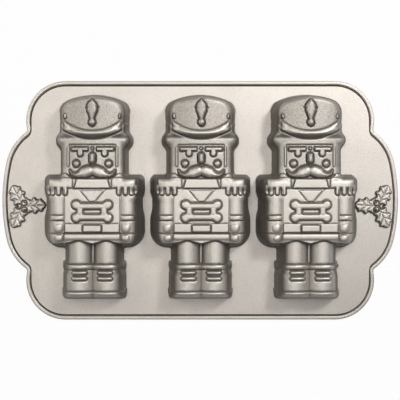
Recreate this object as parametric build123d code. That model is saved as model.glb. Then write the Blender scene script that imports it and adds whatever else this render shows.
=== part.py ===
"""Nutcracker cake pan: one aluminium casting with three soldier-shaped moulds, lying mouth down on its rim.

All sizes are millimetres. +Z is up, X runs along the pan, Y runs from the boots to the hats.
The origin is the middle of the rim's resting edge. The casting is cut into nodes where its sections meet:
the rim, the deck, three moulds and the holly reliefs on the two grips.
"""
from build123d import *

import os
from math import cos, radians, sin

# The whole pan
PAN_LENGTH = 365.0
PAN_WIDTH = 220.0
CORNER_RADIUS = 36.5
SHOULDER_LENGTH = 321.0
GRIP_RADIUS = 167.5
GRIP_END_RADIUS = 46.0
GRIP_HALF_ANGLE = 12.2
NOTCH_FILLET = 3.0

# The deck and the raised rim round it
DECK_THICKNESS = 3.2
LIP_HEIGHT = 3.3
RIM_WIDTH = 5.2
BEAD_WIDTH = 3.5
BEAD_DROP = 0.7
GROOVE_DEPTH = 1.7

# The moulds
MOULD_PITCH = 97.0
WALL = 3.0
DRAFT = 7.0
RELIEF_INSET = 0.4
RELIEF_ROOT = 5.0

# The soldier's outline at the deck
HAT_TOP = 97.0
HAT_BASE = 62.0
HAT_TOP_HALF = 33.6
HAT_BASE_HALF = 30.7
HAT_CROWN_RADIUS = 62.0
HAT_CORNER = 8.5
CURL_RADIUS = 9.0
CURL_X = 26.8
CURL_Y = 54.6
HEAD_HALF = 31.2
CHIN_Y = 18.0
SHOULDER_Y = 23.8
SHOULDER_HALF = 46.0
SHOULDER_CORNER = 9.5
SLEEVE_HALF = 44.2
EPAULETTE_Y = 3.0
HAND_Y = -17.0
HEM_Y = -43.5
HIP_CORNER = 16.5
LEG_HALF = 26.9
KNEE_Y = -58.8
KNEE_RING_WIDTH = 5.6
BOOT_HALF = 29.0
BOOT_TOP_Y = -55.5
SOLE_TOP_Y = -81.0
SOLE_Y = -90.0
SOLE_CORNER = 8.5
RUN_ON = 15.0

# How far the moulds stand above the deck
HAT_HEIGHT = 30.2
HAT_ARCH = 82.0
HAT_BRIM_Y = 57.0
HEAD_HEIGHT = 26.5
HEAD_ARCH = 88.0
COAT_HEIGHT = 30.0
TORSO_HALF = 25.2
SKIRT_Y = -36.0
ARM_HEIGHT = 30.0
ARM_X = 31.0
ARM_RADIUS = 15.0
ARM_VALLEY = 3.0
LEG_HEIGHT = 27.0
LEG_X = 12.4
LEG_RADIUS = 14.0
LEG_GAP_HEIGHT = 17.0

# How far the reliefs stand out of the moulds
HAT_RELIEF = 2.4
FACE_RELIEF = 2.2
NOSE_RELIEF = 3.6
MOUSTACHE_RELIEF = 4.2
LAPEL_RELIEF = 1.0
COAT_RELIEF = 2.6
EPAULETTE_RELIEF = 2.6
CUFF_RELIEF = 1.0
KNEE_RELIEF = 1.6
BOOT_RELIEF = 0.8
STRAP_RELIEF = 1.8
SOLE_RELIEF = 1.9

# The badge and peak on the hat
EMBLEM_TOP = 89.4
EMBLEM_HALF = 6.2
EMBLEM_WIDE_Y = 82.6
EMBLEM_NECK_HALF = 2.5
EMBLEM_NECK_Y = 71.0
EMBLEM_BALL_Y = 69.2
EMBLEM_BALL = 3.7
VISOR_OUTER = 48.7
VISOR_INNER = 36.5
VISOR_LOW_Y = 55.6
VISOR_HIGH_Y = 62.5
VISOR_END_Y = 75.5

# The face
BROW_X = 10.9
BROW_Y = 45.5
BROW_LENGTH = 17.2
BROW_WIDTH = 4.2
EYE_Y = 42.6
EYE_RADIUS = 4.3
CHEEK_X = 14.3
CHEEK_Y = 32.9
CHEEK_RADIUS = 4.2
HAIR_X = 22.4
HAIR_Y = 40.0
HAIR_WIDTH = 3.0
HAIR_LENGTH = 20.0
NOSE_Y = 38.0
NOSE_WIDTH = 6.6
NOSE_LENGTH = 12.6
MOUSTACHE_TOP_Y = 31.4
MOUSTACHE_LOW_Y = 23.4

# The coat
YOKE_Y = 11.0
COLLAR_HALF = 15.0
SHIRT_HALF = 11.6
SHIRT_TIP_Y = -0.6
BRAID_X = 12.8
BRAID_Y = -9.2
BRAID_PITCH = 9.4
BRAID_WIDTH = 4.8
KNOT_RADIUS = 4.9
BUCKLE_Y = -24.2
BUCKLE_LENGTH = 16.4
BUCKLE_WIDTH = 7.6
BUCKLE_CORNER = 1.6
BELT_Y = -19.4
SKIRT_TOP_Y = -28.6
EPAULETTE_TOP_Y = 20.6
FRINGE_X = 20.4
FRINGE_PITCH = 6.2
FRINGE_LOBES = 3
FRINGE_Y = 7.0
CUFF_TOP_Y = -12.9
CUFF_LOW_Y = -18.4
HAND_LOW_Y = -28.6

# The boots
STRAP_HALF = 6.6
STRAP_TOP_Y = -63.9
STRAP_PITCH = 4.7
STRAP_WIDTH = 3.7

# The holly on the grips
HOLLY_INSET = 19.3
HOLLY_Y = -5.6
HOLLY_HEIGHT = 3.6
LEAF_LENGTH = 20.0
LEAF_HALF_WIDTH = 5.6
LEAF_START = 0.5
LEAF_ANGLES = (4.0, 116.0, 244.0)
LOBE_RADIUS = 2.2
LOBE_PLACES = ((-4.6, 3.6), (0.4, 4.4), (5.2, 3.2))
BERRY_RADIUS = 2.1
BERRY_RING = 2.9
BERRY_RISE = 0.8
BERRY_EDGE = 0.7

DECK_FLOOR = LIP_HEIGHT
DECK_FACE = LIP_HEIGHT + DECK_THICKNESS
OVERSHOOT = 1.0
SAME_PLACE = 0.01
FLOOR = -OVERSHOOT - DECK_THICKNESS


def slab(sketch, bottom, top, taper=0.0):
    """The sketch extruded from one height to another."""
    return extrude(Pos(0, 0, bottom) * sketch, amount=top - bottom, taper=taper)


def mirrored(shape):
    """The shape with its copy on the other side of the YZ plane."""
    return shape + mirror(shape, about=Plane.YZ)


def span(x0, x1, y0, y1):
    """A rectangle between two corners."""
    return Pos((x0 + x1) / 2, (y0 + y1) / 2) * Rectangle(x1 - x0, y1 - y0)


def pan_outline():
    """The pan's outer edge: a rounded rectangle with a bowed grip at each end."""
    big_x = PAN_LENGTH / 2 - GRIP_RADIUS
    reach = GRIP_RADIUS - GRIP_END_RADIUS
    end_x = big_x + reach * cos(radians(GRIP_HALF_ANGLE))
    end_y = reach * sin(radians(GRIP_HALF_ANGLE))
    bow = CenterArc((big_x, 0), GRIP_RADIUS, -GRIP_HALF_ANGLE, 2 * GRIP_HALF_ANGLE)
    upper = CenterArc((end_x, end_y), GRIP_END_RADIUS, GRIP_HALF_ANGLE, 90 - GRIP_HALF_ANGLE)
    lower = CenterArc((end_x, -end_y), GRIP_END_RADIUS, -90, 90 - GRIP_HALF_ANGLE)
    back = Line((end_x, end_y + GRIP_END_RADIUS), (end_x, -end_y - GRIP_END_RADIUS))
    grip = make_face(Curve() + [bow, upper, lower, back])
    body = RectangleRounded(SHOULDER_LENGTH, PAN_WIDTH, CORNER_RADIUS)
    drawn = [Vector(v.X, v.Y) for v in body.vertices() + mirrored(grip).vertices()]
    outline = body + mirrored(grip)
    notches = [v for v in outline.vertices()
               if min((Vector(v.X, v.Y) - place).length for place in drawn) > SAME_PLACE]
    return fillet(notches, NOTCH_FILLET)


def soldier_parts():
    """The soldier's outline at the deck, as the simple shapes it is drawn from. Each runs on into its neighbour."""
    crown = Pos(0, HAT_TOP - HAT_CROWN_RADIUS) * Circle(HAT_CROWN_RADIUS)
    sides = make_face(Polyline((-HAT_BASE_HALF, HAT_BASE), (HAT_BASE_HALF, HAT_BASE),
                               (HAT_TOP_HALF, HAT_TOP), (-HAT_TOP_HALF, HAT_TOP), close=True))
    hat = crown & sides
    hat = fillet(hat.vertices().group_by(Axis.Y)[-1], HAT_CORNER)
    curl = Pos(CURL_X, CURL_Y) * Circle(CURL_RADIUS)
    head = span(-HEAD_HALF, HEAD_HALF, SHOULDER_Y - RUN_ON, HAT_BASE + RUN_ON)
    shoulders = span(-SHOULDER_HALF, SHOULDER_HALF, EPAULETTE_Y, SHOULDER_Y)
    shoulders = fillet(shoulders.vertices().group_by(Axis.Y)[-1], SHOULDER_CORNER)
    sleeves = span(-SLEEVE_HALF, SLEEVE_HALF, HAND_Y - RUN_ON, EPAULETTE_Y + RUN_ON)
    hips = span(-SHOULDER_HALF, SHOULDER_HALF, HEM_Y, HAND_Y)
    hips = fillet(hips.vertices().group_by(Axis.Y)[0], HIP_CORNER)
    legs = span(-LEG_HALF, LEG_HALF, BOOT_TOP_Y - RUN_ON, HEM_Y + RUN_ON)
    boots = span(-BOOT_HALF, BOOT_HALF, SOLE_Y, BOOT_TOP_Y)
    boots = fillet(boots.vertices().group_by(Axis.Y)[0], SOLE_CORNER)
    return [hat, curl, mirror(curl, about=Plane.YZ), head, shoulders, sleeves, hips, legs, boots]


def soldier_outline(inset=0.0):
    """The soldier's whole outline at the deck, or the mouth of his cavity when it is inset by the wall."""
    whole = Sketch()
    for part in soldier_parts():
        whole += offset(part, -inset) if inset else part
    return whole


def run(section, y0, y1):
    """A section across the pan, run along Y from y0 to y1."""
    return extrude(Plane(origin=(0, y1, 0), x_dir=(1, 0, 0), z_dir=(0, -1, 0)) * section, amount=y1 - y0)


def arch(crest, radius):
    """A section as wide as the shoulders, flat below and arched over its top."""
    block = span(-SHOULDER_HALF, SHOULDER_HALF, FLOOR, crest)
    return block & (Pos(0, crest - radius) * Circle(radius))


def hat_block(lift, y0=HAT_BRIM_Y, y1=HAT_TOP + OVERSHOOT):
    """The space under the hat's front, lifted by that much."""
    return run(arch(HAT_HEIGHT + lift, HAT_ARCH), y0, y1)


def head_block(lift):
    """The space under the hair and face."""
    return run(arch(HEAD_HEIGHT + lift, HEAD_ARCH), CHIN_Y - OVERSHOOT, HAT_BRIM_Y + OVERSHOOT)


def coat_block(lift, y0=SKIRT_Y, y1=SHOULDER_Y + OVERSHOOT):
    """The space under the coat and the two sleeves."""
    torso = span(-TORSO_HALF, TORSO_HALF, FLOOR, COAT_HEIGHT + lift)
    between = span(-ARM_X, ARM_X, FLOOR, ARM_HEIGHT - ARM_VALLEY + lift)
    sleeve = Pos(ARM_X, ARM_HEIGHT - ARM_RADIUS + lift) * Circle(ARM_RADIUS)
    under = span(ARM_X, ARM_X + ARM_RADIUS, FLOOR, ARM_HEIGHT - ARM_RADIUS + lift)
    return run(torso + between + mirrored(sleeve + under), y0, y1)


def leg_block(lift, y0, y1):
    """The space under the two legs between two places along them."""
    leg = Pos(LEG_X, LEG_HEIGHT - LEG_RADIUS + lift) * Circle(LEG_RADIUS)
    leg &= span(0, LEG_X + LEG_RADIUS, FLOOR, LEG_HEIGHT + lift)
    under = span(0, LEG_X + LEG_RADIUS, FLOOR, LEG_HEIGHT - LEG_RADIUS + lift)
    gap = span(-LEG_X, LEG_X, FLOOR, LEG_GAP_HEIGHT + lift)
    return run(mirrored(leg + under) + gap, y0, y1)


def emblem():
    """The plume badge on the hat: a drop above a small ball."""
    drop = make_face(Polyline((0, EMBLEM_TOP), (EMBLEM_HALF, EMBLEM_WIDE_Y), (EMBLEM_NECK_HALF, EMBLEM_NECK_Y),
                              (-EMBLEM_NECK_HALF, EMBLEM_NECK_Y), (-EMBLEM_HALF, EMBLEM_WIDE_Y), close=True))
    wide = [v for v in drop.vertices() if abs(v.Y - EMBLEM_WIDE_Y) < OVERSHOOT]
    drop = fillet(wide, EMBLEM_HALF * 0.7)
    return drop + Pos(0, EMBLEM_BALL_Y) * Circle(EMBLEM_BALL)


def visor():
    """The hat's peak, a crescent between two circles."""
    peak = Pos(0, VISOR_LOW_Y + VISOR_OUTER) * Circle(VISOR_OUTER)
    peak -= Pos(0, VISOR_HIGH_Y + VISOR_INNER) * Circle(VISOR_INNER)
    return peak & span(-HAT_TOP_HALF, HAT_TOP_HALF, VISOR_LOW_Y, VISOR_END_Y)


def face():
    """Brows, eyes, cheeks and the two strips of hair beside them."""
    brow = Pos(BROW_X, BROW_Y) * Rectangle(BROW_LENGTH, BROW_WIDTH)
    eye = Pos(BROW_X, EYE_Y) * Circle(EYE_RADIUS)
    cheek = Pos(CHEEK_X, CHEEK_Y) * Circle(CHEEK_RADIUS)
    hair = Pos(HAIR_X, HAIR_Y) * Rectangle(HAIR_WIDTH, HAIR_LENGTH)
    return mirrored(brow + eye + cheek + hair)


def moustache():
    """The moustache: two drooping lobes with upturned ends."""
    over = ThreePointArc((0, MOUSTACHE_TOP_Y), (8.4, 31.2), (14.4, 26.6))
    curl = ThreePointArc(over @ 1, (17.4, 25.4), (20.6, 28.4))
    tip = Line(curl @ 1, (23.4, 26.8))
    under = ThreePointArc(tip @ 1, (19.4, 20.4), (10.6, 18.9))
    lip = ThreePointArc(under @ 1, (4.6, 20.4), (0, MOUSTACHE_LOW_Y))
    middle = Line(lip @ 1, over @ 0)
    return mirrored(make_face(Curve() + [over, curl, tip, under, lip, middle]))


def nose():
    """The nose, a short upright bar with round ends."""
    return Pos(0, NOSE_Y) * SlotOverall(NOSE_LENGTH, NOSE_WIDTH, rotation=90)


def braid():
    """The coat's braid: two bars joined at their ends, with four round knots."""
    bar = Pos(0, BRAID_PITCH / 2) * Rectangle(2 * BRAID_X, BRAID_WIDTH)
    knot = Pos(BRAID_X, BRAID_PITCH / 2) * Circle(KNOT_RADIUS)
    link = mirrored(Pos(BRAID_X, 0) * Rectangle(BRAID_WIDTH, BRAID_PITCH))
    upper = bar + mirrored(knot)
    return Pos(0, BRAID_Y) * (upper + mirror(upper, about=Plane.XZ) + link)


def buckle():
    """The belt's buckle."""
    return Pos(0, BUCKLE_Y) * RectangleRounded(BUCKLE_LENGTH, BUCKLE_WIDTH, BUCKLE_CORNER)


def lapels():
    """The coat's front down to the belt, open in a V over the shirt."""
    front = span(-TORSO_HALF, TORSO_HALF, BELT_Y, YOKE_Y)
    shirt = make_face(Polyline((-SHIRT_HALF, YOKE_Y), (SHIRT_HALF, YOKE_Y), (0, SHIRT_TIP_Y), close=True))
    return front - shirt


def epaulette():
    """One epaulette on the shoulder, with its fringe of round lobes."""
    fringe_end = FRINGE_X + FRINGE_LOBES * FRINGE_PITCH
    board = span(COLLAR_HALF, fringe_end, YOKE_Y, EPAULETTE_TOP_Y)
    board += span(FRINGE_X, fringe_end, FRINGE_Y, YOKE_Y)
    for i in range(FRINGE_LOBES):
        board += Pos(FRINGE_X + (i + 0.5) * FRINGE_PITCH, FRINGE_Y) * Circle(FRINGE_PITCH / 2)
    return board


def strap(i):
    """One pair of boot straps, the first under the knee band."""
    y = STRAP_TOP_Y - i * STRAP_PITCH
    return mirrored(Pos(LEG_X, y) * Rectangle(2 * STRAP_HALF, STRAP_WIDTH))


def figure(inset, relief_inset):
    """The soldier as one solid. Insetting it by the wall gives the space inside the mould."""
    drawn = Part()
    for part in soldier_parts():
        base = offset(part, -inset) if inset else part
        drawn += slab(base, 0, HAT_HEIGHT + HAT_RELIEF + OVERSHOOT - inset, DRAFT)
    tops = hat_block(-inset) + head_block(-inset) + coat_block(-inset)
    tops += coat_block(CUFF_RELIEF - inset, CUFF_LOW_Y, CUFF_TOP_Y)
    tops += coat_block(CUFF_RELIEF - inset, SKIRT_Y, HAND_LOW_Y)
    tops += leg_block(-inset, SOLE_Y - OVERSHOOT, SKIRT_Y + OVERSHOOT)
    tops += leg_block(BOOT_RELIEF - inset, SOLE_Y - OVERSHOOT, BOOT_TOP_Y)
    tops += leg_block(SOLE_RELIEF - inset, SOLE_Y - OVERSHOOT, SOLE_TOP_Y)
    tops += leg_block(KNEE_RELIEF - inset, KNEE_Y - KNEE_RING_WIDTH / 2, KNEE_Y + KNEE_RING_WIDTH / 2)
    solid = drawn & tops
    boots = (SOLE_Y - OVERSHOOT, SKIRT_Y)
    reliefs = [
        (emblem(), hat_block(HAT_RELIEF - inset), HAT_HEIGHT),
        (visor(), hat_block(HAT_RELIEF - inset, VISOR_LOW_Y - OVERSHOOT), HAT_HEIGHT),
        (face(), head_block(FACE_RELIEF - inset), HEAD_HEIGHT),
        (moustache(), head_block(MOUSTACHE_RELIEF - inset), HEAD_HEIGHT),
        (nose(), head_block(NOSE_RELIEF - inset), HEAD_HEIGHT),
        (lapels(), coat_block(LAPEL_RELIEF - inset), COAT_HEIGHT),
        (braid(), coat_block(COAT_RELIEF - inset), COAT_HEIGHT),
        (buckle(), coat_block(COAT_RELIEF - inset), COAT_HEIGHT),
        (mirrored(epaulette()), coat_block(EPAULETTE_RELIEF - inset), COAT_HEIGHT),
        (strap(0), leg_block(STRAP_RELIEF - inset, *boots), LEG_HEIGHT),
        (strap(1), leg_block(STRAP_RELIEF - inset, *boots), LEG_HEIGHT),
    ]
    for sketch, block, height in reliefs:
        if relief_inset:
            sketch = offset(sketch, -relief_inset)
        root = height - inset - RELIEF_ROOT
        solid += slab(sketch, root, height - inset + MOUSTACHE_RELIEF + OVERSHOOT) & block
    return solid


def mould():
    """One mould: the soldier's shell, open at the deck's far face."""
    outer = figure(0.0, 0.0) + slab(soldier_outline(), -DECK_THICKNESS, 0)
    inner = figure(WALL, RELIEF_INSET) + slab(soldier_outline(WALL), FLOOR, 0)
    return Pos(0, 0, DECK_FACE) * (outer - inner)


def blade(half_width):
    """A plain leaf along X, pointed at both ends."""
    rise = (LEAF_LENGTH / 2) ** 2 / half_width / 2 - half_width / 2
    radius = rise + half_width
    return (Pos(0, rise) * Circle(radius)) & (Pos(0, -rise) * Circle(radius))


def leaf():
    """A holly leaf along X, with round lobes down both sides and a pointed tip."""
    shape = blade(LEAF_HALF_WIDTH)
    for x, y in LOBE_PLACES:
        shape += mirror(Pos(x, y) * Circle(LOBE_RADIUS), about=Plane.XZ) + Pos(x, y) * Circle(LOBE_RADIUS)
    return shape


def sprig(one_leaf, middle):
    """Three leaves round a middle disc, on the left grip."""
    shape = Circle(middle)
    for angle in LEAF_ANGLES:
        shape += Rot(0, 0, angle) * Pos(LEAF_START + LEAF_LENGTH / 2, 0) * one_leaf
    return Pos(HOLLY_INSET - PAN_LENGTH / 2, HOLLY_Y) * shape


def holly_outline():
    """The holly's outline where it leaves the deck."""
    return sprig(leaf(), BERRY_RING + BERRY_RADIUS + BERRY_EDGE)


def holly():
    """The left grip's holly: a relief with three berries at its middle."""
    top = DECK_FACE + HOLLY_HEIGHT
    relief = slab(holly_outline(), DECK_FLOOR, top)
    for i in range(3):
        berry = Rot(0, 0, 60 + 120 * i) * Pos(BERRY_RING, 0) * Circle(BERRY_RADIUS)
        relief += slab(Pos(HOLLY_INSET - PAN_LENGTH / 2, HOLLY_Y) * berry, top - BERRY_RISE, top + BERRY_RISE)
    return relief


def deck():
    """The flat deck, cut out for the moulds and the holly."""
    plate = slab(offset(pan_outline(), -RIM_WIDTH), DECK_FLOOR, DECK_FACE)
    hole = slab(soldier_outline(), DECK_FLOOR - OVERSHOOT, DECK_FACE + OVERSHOOT)
    for x in (-MOULD_PITCH, 0, MOULD_PITCH):
        plate -= Pos(x, 0, 0) * hole
    return plate - mirrored(slab(holly_outline(), DECK_FLOOR - OVERSHOOT, DECK_FACE + OVERSHOOT))


def rim():
    """The rim: a bead along the deck's edge over a lip that the pan lies on."""
    outline = pan_outline()
    bead_top = DECK_FACE - BEAD_DROP
    inner = offset(outline, -RIM_WIDTH)
    bead = slab(outline, 0, bead_top) - slab(offset(outline, -BEAD_WIDTH), 0, bead_top)
    ledge = slab(offset(outline, -BEAD_WIDTH), DECK_FLOOR, DECK_FACE - GROOVE_DEPTH)
    return bead + (ledge - slab(inner, 0, DECK_FACE))


if __name__ == "__main__":
    os.makedirs("parts", exist_ok=True)
    cast_mould = mould()
    left_holly = holly()
    nodes = {
        "deck": deck(),
        "rim": rim(),
        "mould_left": Pos(-MOULD_PITCH, 0, 0) * cast_mould,
        "mould_centre": cast_mould,
        "mould_right": Pos(MOULD_PITCH, 0, 0) * cast_mould,
        "holly_left": left_holly,
        "holly_right": mirror(left_holly, about=Plane.YZ),
    }
    for name, solid in nodes.items():
        export_step(solid, f"parts/{name}.step")
        print(name, len(solid.solids()), round(solid.volume), len(solid.faces()), solid.is_valid)
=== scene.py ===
"""Soldier-shaped cake pan, a sand-blasted aluminium casting lying mouth down.

The three moulds and the two holly reliefs are cast skins. Each is the zero surface of one function of place,
built from plain sketches in millimetres on the deck's face and raised by drafted walls and soft reliefs.
"""
import math

import bpy
import numpy as np
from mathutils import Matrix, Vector


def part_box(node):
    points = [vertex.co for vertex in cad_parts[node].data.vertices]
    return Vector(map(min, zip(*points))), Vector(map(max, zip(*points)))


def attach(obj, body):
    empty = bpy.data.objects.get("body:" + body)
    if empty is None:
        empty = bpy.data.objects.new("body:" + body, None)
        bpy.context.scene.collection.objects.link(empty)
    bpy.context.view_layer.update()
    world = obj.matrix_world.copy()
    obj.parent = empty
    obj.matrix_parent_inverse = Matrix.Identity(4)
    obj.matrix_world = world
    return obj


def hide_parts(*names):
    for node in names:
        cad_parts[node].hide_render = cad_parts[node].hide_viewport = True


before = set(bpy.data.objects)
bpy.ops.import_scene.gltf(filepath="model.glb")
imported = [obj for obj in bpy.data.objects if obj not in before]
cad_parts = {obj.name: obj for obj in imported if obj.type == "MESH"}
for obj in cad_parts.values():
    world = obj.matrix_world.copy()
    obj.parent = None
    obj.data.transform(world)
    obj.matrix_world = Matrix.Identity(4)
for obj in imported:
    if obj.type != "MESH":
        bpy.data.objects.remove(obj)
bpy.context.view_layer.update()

# The deck and rim of the frame, in millimetres but for the boxes
MM = 0.001
DECK_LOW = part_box("deck")[0]
DECK_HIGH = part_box("deck")[1]
RIM_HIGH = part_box("rim")[1]
DECK_FACE = DECK_HIGH[2] / MM
DECK_THICKNESS = DECK_FACE - DECK_LOW[2] / MM

# The casting, and the plugs that fill the deck's holes: their lap, and how far they stand over and under it
WALL = 3.0
DRAFT = math.tan(math.radians(7.0))
CREST_ROUND = 5.4
CAVITY_ROUND = 2.4
FACE_EDGE = 1.3
CAVITY_EDGE = 2.4
CAVITY_RELIEF = 0.75
SEAT = 0.15
FLUSH = 0.012
PROUD = 0.015

# The skins' meshes and their shading
VOXEL = 0.7
SKIN_FACES = 185000
HOLLY_VOXEL = 0.34
HOLLY_FACES = 60000
MESH_MARGIN = 2
RELIEF_ROOM = 6
HOLLY_MARGIN = 1
HOLLY_ROOM = 5.5
SETTLE_ROUNDS = 5
SLOPE_REACH = 0.04
LEAST_SLOPE = 0.25
UNDERSIDE = -0.02
NORMAL_REACH = 0.22
CREASE = math.radians(38)
RIM_CREASE = math.radians(35)

# Painted shade, darker in hollows, at the walls' feet and on steep walls, and painted highlight, brighter on
# ridges
LIGHT_SAMPLE_TURNS = 8
LIGHT_SAMPLE_REACH = 1.1
TOP_FACE_DEPTH = 1.2
HOLLOW_FROM = 0.07
HOLLOW_GAIN = 2.4
HOLLOW_MOST = 0.8
RIDGE_FROM = 0.1
RIDGE_GAIN = 1.5
FOOT_FALL = 1.1
FOOT_IN = 1.2
FOOT_OUT = 0.7
WALL_PAINTED_SHADE = 0.92
WALL_FOOT = 0.6
STEEP = 0.7
STEEP_TURN = 0.36

# The cast grain: where the hat's front begins, where the face's ends are, and how fast both bow upwards
FACE_GRIT = 0.6
HAT_GRIT_LOW = 63.0
FACE_GRIT_LOW = 30.0
FACE_GRIT_HIGH = 57.0
GRIT_BOW = 90.0
GRIT_TURN = 4.0

# The rim and the pan's outline
SHOULDER_HALF_LENGTH = 160.5
CORNER_RADIUS = 36.5
GRIP_RADIUS = 167.5
GRIP_END_RADIUS = 46.0
GRIP_ANGLE = 12.2
NOTCH_RADIUS = 3.0
BEAD_WIDTH = 3.5
BEAD_HEIGHT = 5.8
RIM_SIZES = {"Bead width": BEAD_WIDTH, "Bead height": BEAD_HEIGHT, "Bead round": 1.1, "Ledge width": 2.1,
             "Ledge height": 1.5, "Ledge shift": -2.6, "Ledge drop": 1.15}
BEAD_ROUND_STEPS = 8

# The points along the outline: a step as degrees times the radius, and gaps under which two are one
ARC_STEP = 60
ARC_LEAST_STEPS = 3
JOINT_GAP = 0.05
MIRROR_GAP = 0.02

# The holly on the grips
HOLLY_INSET = 19.3
HOLLY_Y = -5.6
HOLLY_GROWTH = 1.07
HOLLY_DRAFT = 0.25
HOLLY_ROUND = 1.2
HUB_RADIUS = 3.4
LEAF_LENGTH = 20.0
LEAF_HALF = 5.6
LEAF_ANGLES = (4.0, 116.0, 244.0)
LEAF_BLADE = ((1.5, 0, 3.2), (6.5, 0, 5.4), (12.0, 0, 5.6), (16.0, 0, 4.2), (18.6, 0, 1.8))
LEAF_LOBES = (((5.2, 2.0, 3.0), (4.8, 4.6, 2.0)), ((10.4, 2.0, 3.4), (10.2, 5.4, 2.1)),
              ((15.4, 2.0, 2.6), (15.6, 4.2, 1.9)))
LOBE_FILL = 1.0
LEAF_FILL = 1.2
LEAF_BASE = 1.6
LEAF_FORM = (1.9, 2.4)
MIDDLE_VEIN = ((4.5, 0), (18.0, 0))
SIDE_VEIN_STARTS = (6.0, 11.0)
SIDE_VEIN = (3.0, 4.0)
VEIN_GROOVE = (0.55, 0.6)
BERRY_TURNS = (math.radians(60), math.pi, math.radians(300))
BERRY_RING = 2.9
BERRY_RADIUS = 2.3
BERRY_BASE = 2.0
BERRY_FORM = (2.3, 2.3)
BERRY_GROOVE = (1.1, 0.6)
HUB_CUT_RADIUS = 5.7
LEAF_CUT_START = 0.5
LOBE_CUTS = ((-4.6, 3.6), (0.4, 4.4), (5.2, 3.2))
LOBE_CUT_RADIUS = 2.2

# The soldier's outline, with bands given as half width, low end, high end and corner radius
HAT_TOP = 97.0
HAT_BASE = 60.0
HAT_SLOPE = 0.083
HAT_BASE_HALF = 30.7
HAT_CROWN_RADIUS = 62.0
HAT_CORNER = 9.5
CURL = (26.8, 54.6, 9.0)
HEAD_HALF = 31.2
SHOULDER_HALF = 46.0
SHOULDER_Y = 23.8
SLEEVE_HALF = 44.2
LEG_HALF = 26.9
SOLE_Y = -90.0
HEAD_BAND = (HEAD_HALF, 12, 70)
SHOULDER_BAND = (SHOULDER_HALF, 4.0, SHOULDER_Y, 7.0)
SLEEVE_BAND = (SLEEVE_HALF, -25, 12)
HIP_BAND = (SHOULDER_HALF, -43.5, -2, 16.0)
LEG_BAND = (LEG_HALF, -80, -28)
BOOT_BAND = (28.4, SOLE_Y, -62.0, 6.5)
SOLE_BAND = (29.6, SOLE_Y, -80.8)
SOLE_WELT = 1.2
KNEE_BAND = (29.3, -62.0, -55.8, 2.8)
CORE_BANDS = ((40, -38, 19), (26, 2, 84), (22, -85, -20))
OUTLINE_FILL = 3.0
CUT_BANDS = ((HEAD_HALF, 10, 70), (SHOULDER_HALF, 3, SHOULDER_Y), (SLEEVE_HALF, -32, 18), HIP_BAND,
             (LEG_HALF, -70, -28), (29.0, SOLE_Y, -55.5))

# The soldier's main forms, with heights over the deck
HAT_HEIGHT = 30.2
HAT_ARCH = 82.0
HAT_TURN = 5.0
HEAD_HEIGHT = 26.5
HEAD_ARCH = 88.0
COAT_HEIGHT = 30.0
TORSO_HALF = 25.2
ROUND_SHARE = 0.97
SIDE_FALL = 1.6
ARM_X = 30.6
ARM_RADIUS = 9.6
SHOULDER_FULLNESS = 5.4
SHOULDER_FOOT = 1.0
SHOULDER_TURN = 6.0
ARM_VALLEY = 3.0
ARMPIT_Y = 8.0
LIMB_TURN = 4.0
LEG_HEIGHT = 27.0
LEG_X = 12.4
LEG_RADIUS = 12.6
BOOT_FULLNESS = 4.4
BOOT_TOP = -57.0
LEG_WEB_HEIGHT = 19.4
LEG_WEB_FALL = 4
LEG_WEB_HALF = 1.0
LEG_WEB_TURN = 0.6
BROW_Y = 57.5
CHIN_Y = 19.2
JAW_HALF = 15.0
JAW_BOW = 0.075
HEM_LINE = -38.8
HEM_RISE = 3.2
HEM_REACH = 8.0
HEM_TURN = 1.5

# How softly a relief or a groove ends
CRISP = 0.8
FIRM = 1.0
EVEN = 1.2
SOFT = 1.6
EASY = 2.0
LONG = 3.0

# The ends of the areas that hold the reliefs
HAT_AREA_LOW = 53.5
FACE_AREA_HIGH = 55.6
COAT_AREA_LOW = -37.0
COLLAR_LAP = 2.0
SLEEVE_AREA_IN = 16.6
BOOT_AREA_HIGH = -38.0

# Reliefs on the hat, where a form is a height and a reach, a groove a depth and a width, and a raise both
BADGE_STEM = ((0, 84.2, 3.9), (0, 80.5, 5.0), (0, 72.5, 2.3), (0, 70.0, 2.3))
BADGE_CROWN = ((-1, 91.2), (0.4, 91.2), (5.4, 83.0), (-5, 83.0))
BADGE_FILL = 2.4
BADGE_BALL = (0, 69.4, 3.5)
BALL_FILL = 0.6
BADGE_RAISE = (2.2, 3.2, 0.9, 0.6)
PEAK_FRONT = (0, 104.0, 48.9)
PEAK_ROOT = (0, 102.0, 39.4)
PEAK_HALF = 26.0
PEAK_CORNER = 2.2
PEAK_FORM = (2.1, 5.4)
PEAK_FRONT_GROOVE = (1.1, 0.7)
PEAK_FRONT_END = 26.6
PEAK_ROOT_GROOVE = (0.3, 0.6)
PEAK_ROOT_END = 25.4
PEAK_ROOT_HIGH = 80
PEAK_BEAD = ((24.3, 74.2, 1.5), (24.5, 76.8, 1.1))
PEAK_BEAD_FORM = (2.0, 2.2)

# Reliefs on the face
FACE_OPENING = (-20.6, 20.6, 8.0, 49.6, 0.8)
FRAME_FORM = (0.8, 1.8)
FRAME_GROOVE = (0.35, 0.6)
FRAME_GROOVE_LOW = 47.0
TEMPLE_HAIR = (20.7, 22.9, 30, 48.4, 1.0)
HAIR_FORM = (0.8, 1.1)
BROW = (3.5, 19.4, 43.9, 48.0, 0.9)
EYE = (8.0, 13.8, 39.0, 46.0, 2.8)
EYE_FILL = 0.8
EYE_RAISE = (1.6, 1.5, 0.9, 0.65)
CHEEK = (14.6, 32.8, 3.4)
CHEEK_RAISE = (1.7, 3.6, 1.0, 0.7)
NOSE_LINE = ((0, 40.0), (0, 35.6))
NOSE_HALF = 3.1
NOSE_FORM = (3.9, 2.9)
NOSE_GROOVE = (1.0, 0.7)
NOSE_GROOVE_LAP = 1.5
BROW_BALL = (0, 46.4, 1.6)
BROW_BALL_RAISE = (1.6, 1.6, 0.7, 0.5)
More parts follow.
